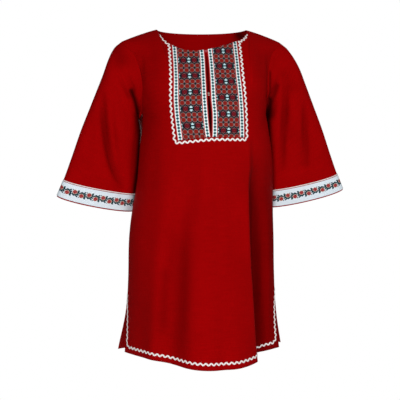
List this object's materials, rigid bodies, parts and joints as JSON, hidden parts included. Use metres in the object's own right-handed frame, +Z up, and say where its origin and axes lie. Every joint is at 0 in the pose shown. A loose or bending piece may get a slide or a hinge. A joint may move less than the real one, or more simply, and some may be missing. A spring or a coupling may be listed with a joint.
{
  "type": "tunic",
  "caption": "Thigh-length pullover tunic with flared three-quarter sleeves, side slits, a slit neckline, geometric bands and wavy braid trim, filled out as if worn.",
  "frame": {"origin": "midway between the two neck points, where the wearer's shoulders hold the tunic up", "axes": "+Z up, the front faces -Y, +X towards the viewer's right as the front is seen"},
  "size_m": [0.6842, 0.2674, 0.7756],
  "materials": {
    "red_cloth": "matte plain weave with a slight sheen",
    "rose_band": "white woven band with a chain of roses",
    "embroidery": "cross-stitched geometric band in reds on a dark ground",
    "diamond_ribbon": "pale ribbon with dark diamonds",
    "white_braid": "white cotton braid",
    "thread": "pink-red sewing thread"
  },
  "bodies": {
    "root": {"front": "red_cloth", "back": "red_cloth", "sleeve_left": "red_cloth", "sleeve_right": "red_cloth", "cuff_left": "rose_band", "cuff_right": "rose_band", "cuff_edging_left": "white_braid", "cuff_edging_right": "white_braid", "panel_left": "embroidery", "panel_right": "embroidery", "ribbon_inner_left": "diamond_ribbon", "ribbon_outer_left": "diamond_ribbon", "ribbon_inner_right": "diamond_ribbon", "ribbon_outer_right": "diamond_ribbon", "ricrac_yoke": "white_braid", "ricrac_hem_front": "white_braid", "ricrac_hem_back": "white_braid", "neck_loop": "thread", "thread_bar": "thread"}
  },
  "joints": []
}
